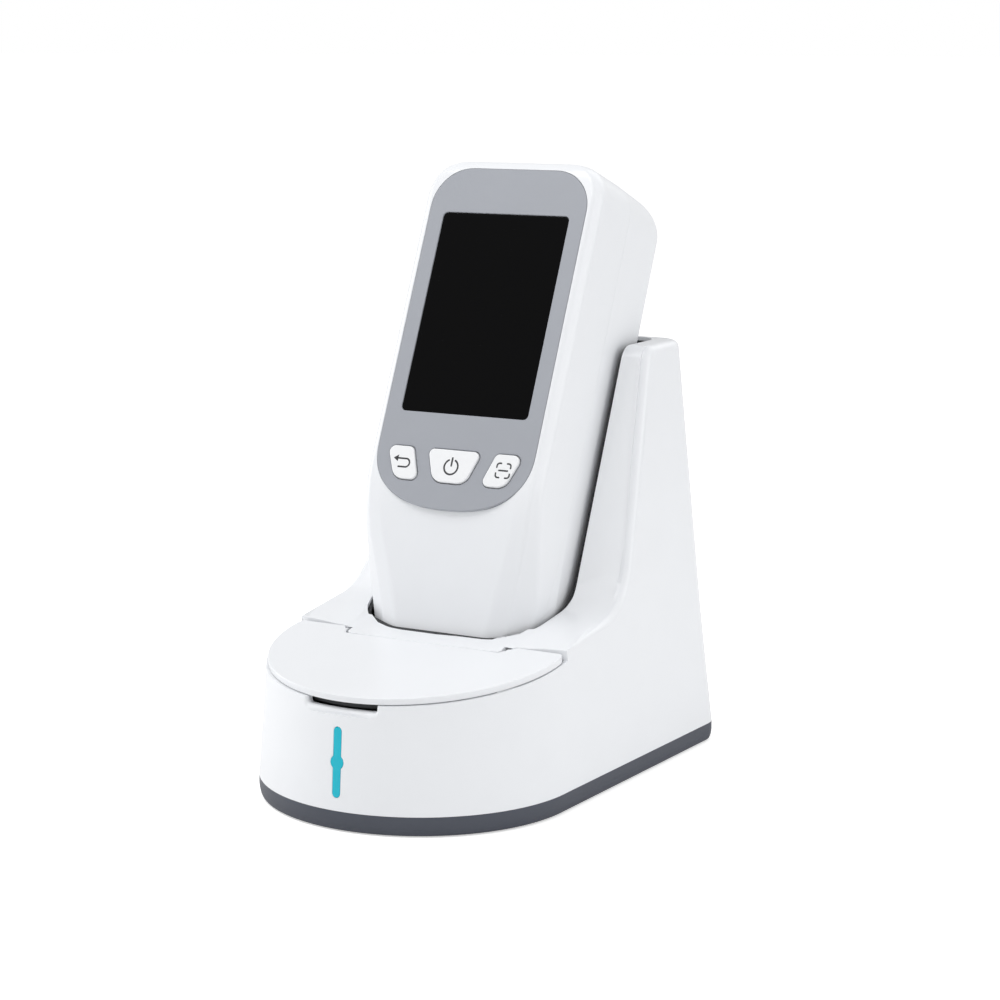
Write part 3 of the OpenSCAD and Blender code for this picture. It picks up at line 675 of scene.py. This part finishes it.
def indicator_light():
    """Teal light guide, flush with the front wall."""
    light = prism("light_guide", light_outline(), -70, -FRONT_R + 5.5, "y")
    cut(light, loft("skin", [dock_ring(z, -0.18) for z in (TRAY_TOP, 28, 50)]), how="INTERSECT")
    soften(light, 0.25, 2, 40)
    settle(light, DOCK, "dock", TEAL, ["indicator_light"])


def rubber_feet():
    """Four round feet with soft edges."""
    low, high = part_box("rubber_feet")
    radius = 7
    places = [(-34, -30), (34, -30), (-42, 82), (42, 82)]
    thick = (high[2] - low[2]) / MM
    feet = None
    for x, y in places:
        foot = rod("foot", radius, 0, thick, (x, y), "z")
        round_where(foot, lambda v: v.z < 0.01, 0.3, 3)
        feet = foot if feet is None else cut(feet, foot, how="UNION")
    feet.name = "feet"
    settle(feet, DOCK, "dock", RUBBER, ["rubber_feet"])


# ---- handset -------------------------------------------------------------------------------

HAND_TOP = 59.2
HAND_LOW = -140
JOINT_Y = 24.5
HAND_WALL = 2.2
# Cross-sections: height, front half width, then half width and depth below the front of the first
# and of the second bevel, side half width, depth of its crease, depth of the back
SECTIONS = [
    (62, 28, 33.6, 0.15, 36.2, 3.0, 37, 24.5, 54.4),
    (-62, 28, 33.4, 0.25, 36, 3.2, 37, 25.5, 54.9),
    (-80, 26.5, 32.2, 0.8, 35.7, 5, 36.9, 27, 54.8),
    (-97, 22.2, 28.2, 2.2, 34.8, 7.6, 36.4, 29.4, 54.5),
    (-114, 18, 25, 2.6, 31.4, 7.6, 34.8, 33, 54),
    (-142, 16, 23, 2.6, 30, 8, 34.2, 33, 53),
]
TOP_RISE = 0.08                    # the top rises towards the back


def bend(z, start, soft):
    """Distance below a bend, eased in over a soft stretch."""
    t = start - z
    if t < -soft:
        return 0.0
    return t if t > soft else (t + soft) ** 2 / (4 * soft)


def hand_front(z):
    """Depth of the handset's front surface: flat beside the screen, drawn back along the grip."""
    return 0.36 * bend(z, -68, 8) - 0.245 * bend(z, -113, 7)


def turn_in(room, radius):
    """How far a surface has turned in, this near to an end that it meets with a radius."""
    short = radius - max(room, 0.0)
    return radius - math.sqrt(radius ** 2 - short ** 2) if short > 0 else 0.0


def hand_ring(z, inset=0.0):
    """Cross-section of the handset at a height, drawn in towards its top and bottom ends."""
    for low, high in zip(SECTIONS, SECTIONS[1:]):
        if z >= high[0]:
            break
    t = (low[0] - z) / (low[0] - high[0])
    _, front_hw, edge_hw, edge, cheek_hw, cheek, side_hw, crease, back = (
        a + (b - a) * t for a, b in zip(low, high))
    above, below = HAND_TOP - inset - z, z - HAND_LOW - inset
    slim = turn_in(above, 14.3 - inset) + turn_in(below, 9 - inset) + inset
    front = hand_front(z) + turn_in(above, 5.5 - inset) + turn_in(below, 3 - inset / 2) + inset
    back -= turn_in(above, 13 - inset) + turn_in(below, 8 - inset) + inset
    corners = both_sides([
        (front_hw - slim, front, 8), (edge_hw - slim, front + edge, 2.6),
        (cheek_hw - slim, front + cheek, 4), (side_hw - slim, crease, 3),
        (side_hw - 0.6 - slim, back - 3.2, 3), (side_hw - 4 - slim, back, 3),
    ])
    rise = TOP_RISE * max(0.0, 1 - above / 30)
    return [(x, y, z + rise * y) for x, y in rounded(corners, 5)]


def hand_form(name, inset=0.0):
    """The handset's outer form, shrunk by inset."""
    top, low = HAND_TOP - inset, HAND_LOW + inset
    heights = [top - (15 - inset) * (1 - math.cos(math.radians(6 * i))) for i in range(16)]
    heights += [35, 20, -20, -50, -56, -60, -64, -68, -72, -76, -82, -90, -98, -104, -108, -112, -116, -120]
    heights += [low + (9 - inset) * (1 - math.cos(math.radians(10 * i))) for i in range(9, -1, -1)]
    return loft(name, [hand_ring(z, inset) for z in heights])


FACE_TOP = 55.2
SCREEN_HW, SCREEN_HH = 25.8, 37.9
KEY_TOP, KEY_LOW = -51.2, -63.3
KEY_OUT = 0.7
LCD_HW, LCD_HH = 28.2, 42.7
CASE_BOSSES = [(-17, 51.3), (17, 51.3), (-22.6, -128), (22.6, -128)]
OPTIC_Z = 20


def face_outline(grow=0.0):
    """The grey faceplate: round at the top, one full bowl at the bottom."""
    half, deep, r = 32 + grow, 23.1 + grow, 15 + grow
    bowl = []
    for i in range(49):
        t = math.radians(180 + 180 * i / 48)
        side = math.copysign(abs(math.cos(t)) ** 0.83, math.cos(t))
        bowl.append((half * side, -50 - deep * abs(math.sin(t)) ** 0.83))
    x, z = 17, FACE_TOP - 15
    return bowl + arc((x, z), r, r, 0, 90, 12) + arc((-x, z), r, r, 90, 180, 12)


def screen_outline(grow=0.0):
    """The screen's window."""
    x, z, r = SCREEN_HW + grow, SCREEN_HH + grow, 1.8
    return rounded([(x, -z, r), (x, z, r), (-x, z, r), (-x, -z, r)])


def grown(outline, grow):
    """An outline moved outwards along its own normals."""
    moved = []
    for i, point in enumerate(outline):
        run = (Vector(outline[(i + 1) % len(outline)]) - Vector(outline[i - 1])).normalized()
        moved.append(tuple(Vector(point) + Vector((run.y, -run.x)) * grow))
    return moved


def key_outlines():
    """Outlines of the back, power and scan keys, each counter-clockwise."""
    middle = rounded(both_sides([(6.6, KEY_LOW, 5), (10.9, KEY_TOP, 2)]), 7)
    side = rounded([
        (-22.6, KEY_LOW, 5), (-12.7, KEY_LOW, 2.2), (-17, KEY_TOP, 2.2), (-27.7, KEY_TOP, 2.4),
    ], 7)
    mirrored = [(-x, z) for x, z in reversed(side)]
    return {"back_button": side, "power_button": middle, "scan_button": mirrored}


def front_shell(outer):
    """Front half of the case, with the recess for the faceplate and the openings behind it."""
    cut(outer, prism("recess", face_outline(0.12), -20, FACE_T + 0.02, "y"))
    soften(outer, 0.22, 3, 45)
    shell = keep_side(outer, (0, JOINT_Y - 0.02, 0), (0, 1, 0))
    inner = hand_form("inner", HAND_WALL)
    cut(inner, prism("pad", face_outline(-0.8), -5, FACE_T + HAND_WALL, "y"))
    for x, z in CASE_BOSSES:
        cut(inner, rod("boss", 2.9, 2, 60, (x, z), "y", 32))
    cut(shell, inner)
    cut(shell, block("lcd_space", (-LCD_HW, LCD_HW), (-2, 4.2), (-LCD_HH, LCD_HH)))
    for outline in key_outlines().values():
        cut(shell, prism("key_space", grown(outline, 1.4), -1, 5, "y"))
    settle(shell, HAND, "handset", WHITE, ["front_shell"])


def rear_shell(outer):
    """Rear half of the case, with the optical window's seat, the screw wells and the sound holes."""
    shell = keep_side(outer, (0, JOINT_Y + 0.02, 0), (0, -1, 0))
    inner = hand_form("inner", HAND_WALL)
    for x, z in CASE_BOSSES:
        cut(inner, rod("boss", 3.5, 10, 70, (x, z), "y", 32))
    cut(shell, inner)
    for x, z in CASE_BOSSES:
        well = rod("screw_well", 2.7, 30.5, 70, (x, z), "y", 32)
        hole = rod("hole", 1.25, 20, 40, (x, z), "y", 24)
        cut(shell, well, hole)
    cut(shell, rod("window_seat", 19.15, 48.6, 70, (0, OPTIC_Z), "y", 72))
    for i in range(-2, 3):
        for k in range(-2, 3):
            if abs(i) + abs(k) < 4:
                cut(shell, rod("sound_hole", 0.8, 50, 70, (3 * i, -40 + 3 * k), "y", 12))
    cut(shell, block("contact_space", (-14.2, 14.2), (28.8, 39.2), (HAND_LOW - 5, HAND_LOW + 5)))
    settle(shell, HAND, "handset", WHITE, ["rear_shell"])


def faceplate():
    """Grey faceplate with the screen's window and the three key openings."""
    plate = prism("face_panel", face_outline(), 0, FACE_T, "y")
    cut(plate, prism("window", screen_outline(0.1), -5, 5, "y"))
    for outline in key_outlines().values():
        cut(plate, prism("key_hole", grown(outline, 0.32), -5, 5, "y"))
    round_where(plate, lambda v: v.y < 0.01, 0.32, 3)
    settle(plate, HAND, "handset", GREY, ["faceplate"])


def screen_glass():
    """Black glass over the display, just below the faceplate."""
    glass = prism("screen_glass", screen_outline(), GLASS_FRONT, FACE_T, "y")
    round_where(glass, lambda v: v.y < GLASS_FRONT + 0.01, 0.3, 3)
    settle(glass, HAND, "handset", SCREEN, ["display_glass"])


def power_symbol(centre):
    """Broken ring with an upright bar."""
    x, z = centre
    ring = [(x + 2.75 * math.sin(t), z - 0.3 + 2.75 * math.cos(t))
            for t in (math.radians(28 + 304 * i / 28) for i in range(29))]
    return [stroke(ring, 0.66), stroke([(x, z + 0.15), (x, z + 1.6), (x, z + 3.0)], 0.66)]


def return_symbol(centre):
    """Arrow that turns back to the left."""
    x, z = centre
    hook = [(x - 2.4, z + 1.15), (x, z + 1.15), (x + 1.3, z + 1.15)]
    hook += [(x + 1.3 + 1.55 * math.sin(t), z - 0.4 + 1.55 * math.cos(t))
             for t in (math.radians(12 * i) for i in range(1, 15))]
    hook += [(x + 1.3, z - 1.95), (x - 0.4, z - 1.95), (x - 1.5, z - 1.95)]
    head = [(x - 4.0, z + 1.15), (x - 2.1, z - 0.1), (x - 2.1, z + 2.4)]
    return [stroke(hook, 0.62), head]


def scan_symbol(centre):
    """Four frame corners around a dash."""
    x, z = centre
    strokes = [stroke([(x - 1.7, z), (x, z), (x + 1.7, z)], 0.6)]
    for sx in (-1, 1):
        for sz in (-1, 1):
            bend_points = [
                (x + sx * (1.8 + 0.95 * math.sin(t)), z + sz * (1.65 + 0.95 * math.cos(t)))
                for t in (math.radians(90 * i / 6) for i in range(7))
            ]
            path = [(x + sx * 1.2, z + sz * 2.6)] + bend_points + [(x + sx * 2.75, z + sz * 1.05)]
            strokes.append(stroke(path, 0.58))
    return strokes


def keys():
    """Three keys with soft edges, each with its symbol inlaid."""
    symbols = {
        "back_button": return_symbol((-20.0, -57.1)),
        "power_button": power_symbol((0, -57.2)),
        "scan_button": scan_symbol((21.0, -57.1)),
    }
    for name, outline in key_outlines().items():
        key = prism(name + "_cap", outline, -KEY_OUT, 3.0, "y")
        round_where(key, lambda v: v.y < -KEY_OUT + 0.01, 0.5, 5)
        cut(key, prism("flange", grown(outline, 1.0), FACE_T + 0.2, FACE_T + 1.0, "y"), how="UNION")
        settle(key, HAND, name, KEY_WHITE, [name])
        for i, mark in enumerate(symbols[name]):
            ink = prism(f"{name}_symbol_{i}", mark, -KEY_OUT - 0.03, -KEY_OUT + 0.2, "y")
            settle(ink, HAND, name, INK, flat_first=False)


def lathe(name, profile, steps=72):
    """A ring turned from a closed profile of (radius, y) about the optical axis."""
    only()
    bpy.ops.mesh.primitive_circle_add(vertices=len(profile), fill_type="NGON")
    piece = bpy.context.object
    piece.name = name
    for vert, (radius, y) in zip(piece.data.vertices, profile):
        vert.co = (radius, y, 0)
    bpy.ops.object.mode_set(mode="EDIT")
    bpy.ops.mesh.select_all(action="SELECT")
    bpy.ops.mesh.spin(steps=steps, angle=2 * math.pi, center=(0, 0, 0), axis=(0, 1, 0))
    bpy.ops.mesh.select_all(action="SELECT")
    bpy.ops.mesh.remove_doubles(threshold=0.002)
    bpy.ops.object.mode_set(mode="OBJECT")
    mesh = bmesh.new()
    mesh.from_mesh(piece.data)
    inner = [f for f in mesh.faces if len(f.verts) == len(profile)]
    bmesh.ops.delete(mesh, geom=inner, context="FACES_ONLY")
    mesh.to_mesh(piece.data)
    mesh.free()
    mend_normals(piece)
    piece.data.transform(Matrix.Translation((0, 0, OPTIC_Z)))
    return piece


def rear_window():
    """Dark filter glass in a stepped bezel, in the back of the head."""
    glass = rod("filter_glass", 17.9, 54.6, 56.6, (0, OPTIC_Z), "y", 72)
    soften(glass, 0.35, 3, 50)
    settle(glass, HAND, "handset", WINDOW, ["rear_window"])
    profile = rounded([
        (16.0, 53.3, 0), (19.0, 53.3, 0), (19.0, 58.1, 0.8), (17.6, 58.1, 0.5), (16.4, 56.75, 0.3),
        (16.0, 56.75, 0.1), (16.0, 56.7, 0), (17.95, 56.7, 0), (17.95, 54.5, 0), (16.0, 54.5, 0),
    ], 4)
    settle(lathe("window_ring", profile), HAND, "handset", DARK_TRIM_AND_PAINTED_SHADE, ["window_bezel"])


# ---- setting -------------------------------------------------------------------------------

# Lamps: name, place, width in metres, power in watts
LAMPS = [
    ("overhead", (-0.3, -0.5, 1.25), 0.7, 6.8),
    ("right", (1.3, 0.1, 0.5), 0.9, 4.2),
    ("left", (-1.3, -0.2, 0.35), 0.9, 5.2),
    ("behind", (0.3, 1.0, 0.9), 0.9, 2.4),
]
ROOM_LIGHT = 0.66                  # even light from all round
FLOOR_LIFT = 0.5                   # what brings the floor up to white

VIEW_TURN = 29.17                  # degrees to the right of straight on
VIEW_DOWN = 10.35                  # degrees looking down
VIEW_FAR = 0.870
VIEW_LENS = 91.42
VIEW_AT = Vector((0.02945, -0.02677, 0.10612))


def setting():
    """Pale floor, soft studio light and the camera."""
    only()
    bpy.ops.mesh.primitive_plane_add(size=60, location=(0, 0, 0))
    floor = bpy.context.object
    floor.name = "floor"
    floor.data.materials.append(pale())
    turn, down = math.radians(VIEW_TURN), math.radians(VIEW_DOWN)
    away = Vector((math.sin(turn) * math.cos(down), -math.cos(turn) * math.cos(down), math.sin(down)))
    bpy.ops.object.camera_add(location=VIEW_AT + away * VIEW_FAR, rotation=(math.pi / 2 - down, 0, turn))
    camera = bpy.context.object
    camera.data.lens = VIEW_LENS
    camera.data.clip_start = 0.01
    bpy.context.scene.camera = camera
    for name, place, size, power in LAMPS:
        bpy.ops.object.light_add(type="AREA", location=place)
        lamp = bpy.context.object
        lamp.name = name
        lamp.data.size = size
        lamp.data.energy = power
        aim = Vector((0, 0.02, 0.1)) - Vector(place)
        lamp.rotation_euler = aim.to_track_quat("-Z", "Y").to_euler()
    sky()
    bpy.context.scene.view_settings.view_transform = "Standard"


def pale():
    """Floor that shows white to the camera and keeps the object's soft shadow."""
    material = bpy.data.materials.new("pale_floor")
    material.use_nodes = True
    nodes, links = material.node_tree.nodes, material.node_tree.links
    shader = nodes["Principled BSDF"]
    shader.inputs["Base Color"].default_value = (0.9, 0.9, 0.9, 1)
    shader.inputs["Roughness"].default_value = 0.9
    shader.inputs["Specular IOR Level"].default_value = 0.0
    shader.inputs["Emission Color"].default_value = (1, 1, 1, 1)
    seen = nodes.new("ShaderNodeLightPath")
    lift = nodes.new("ShaderNodeMath")
    lift.operation = "MULTIPLY"
    lift.inputs[1].default_value = FLOOR_LIFT
    links.new(seen.outputs["Is Camera Ray"], lift.inputs[0])
    links.new(lift.outputs[0], shader.inputs["Emission Strength"])
    return material


def sky():
    """Even light all round, and white behind the object and through glass."""
    world = bpy.data.worlds.new("studio")
    bpy.context.scene.world = world
    world.use_nodes = True
    nodes, links = world.node_tree.nodes, world.node_tree.links
    seen = nodes.new("ShaderNodeLightPath")
    strength = nodes.new("ShaderNodeMath")
    strength.operation = "MAXIMUM"
    gloss = nodes.new("ShaderNodeMath")
    gloss.operation = "MAXIMUM"
    links.new(seen.outputs["Is Camera Ray"], gloss.inputs[0])
    links.new(seen.outputs["Is Transmission Ray"], gloss.inputs[1])
    links.new(gloss.outputs[0], strength.inputs[0])
    strength.inputs[1].default_value = ROOM_LIGHT
    background = nodes["Background"]
    background.inputs["Color"].default_value = (1, 1, 1, 1)
    links.new(strength.outputs[0], background.inputs["Strength"])


# ---- the object ----------------------------------------------------------------------------

setting()
finish_frame()
dock_housing()
front_lid()
base_tray()
indicator_light()
rubber_feet()
case = hand_form("case_front")
rear_shell(twin(case, "case_rear"))
front_shell(case)
faceplate()
screen_glass()
keys()
rear_window()
